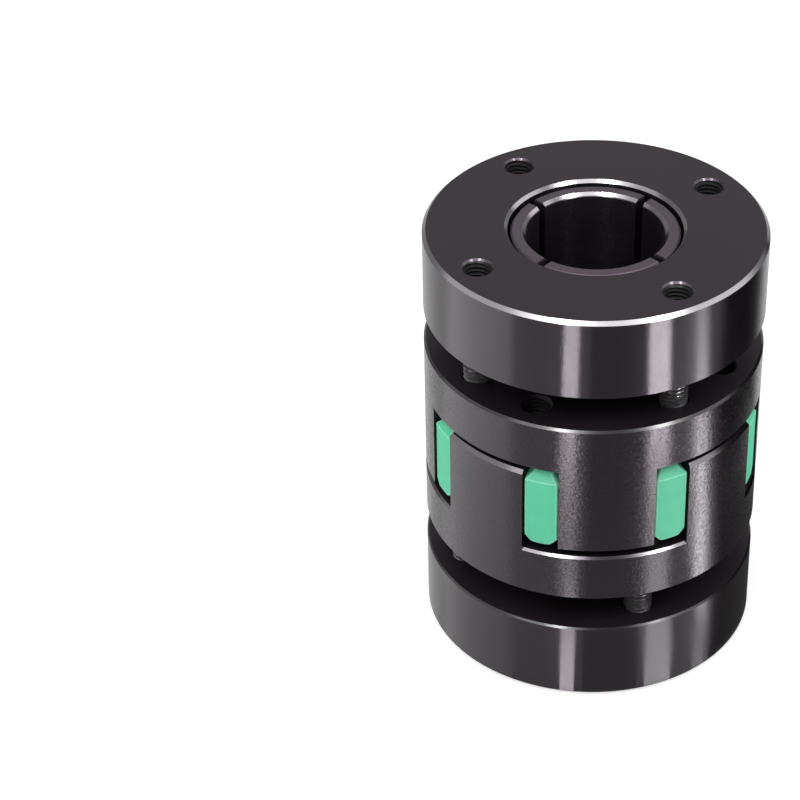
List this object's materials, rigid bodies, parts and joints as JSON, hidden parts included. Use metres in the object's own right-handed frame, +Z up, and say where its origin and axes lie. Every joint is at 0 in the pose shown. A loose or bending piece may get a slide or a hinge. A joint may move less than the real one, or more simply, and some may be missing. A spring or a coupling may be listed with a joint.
{
  "type": "expansion sleeve coupling",
  "caption": "Round black shaft coupling: jawed hubs in mesh with a green elastic spider, and a taper clamping ring screwed to the outer end of each hub.",
  "frame": {"origin": "centre of the bottom face, on the shaft axis", "axes": "+Z up along the shaft axis; a jaw of the upper hub is centred on +X"},
  "size_m": [0.095, 0.095, 0.128],
  "materials": {
    "black_anodised_hub": "fine turned, black anodised, satin",
    "black_anodised_ring": "fine turned, black anodised, satin",
    "black_screw_steel": "black oxide, lightly oiled",
    "green_elastomer": "moulded polyurethane, satin"
  },
  "bodies": {
    "root": {"upper_hub": "black_anodised_hub", "lower_hub": "black_anodised_hub", "upper_clamping_ring": "black_anodised_ring", "lower_clamping_ring": "black_anodised_ring", "spider": "green_elastomer", "upper_clamp_screw_1": "black_screw_steel", "upper_clamp_screw_2": "black_screw_steel", "upper_clamp_screw_3": "black_screw_steel", "upper_clamp_screw_4": "black_screw_steel", "lower_clamp_screw_1": "black_screw_steel", "lower_clamp_screw_2": "black_screw_steel", "lower_clamp_screw_3": "black_screw_steel", "lower_clamp_screw_4": "black_screw_steel"}
  },
  "joints": []
}
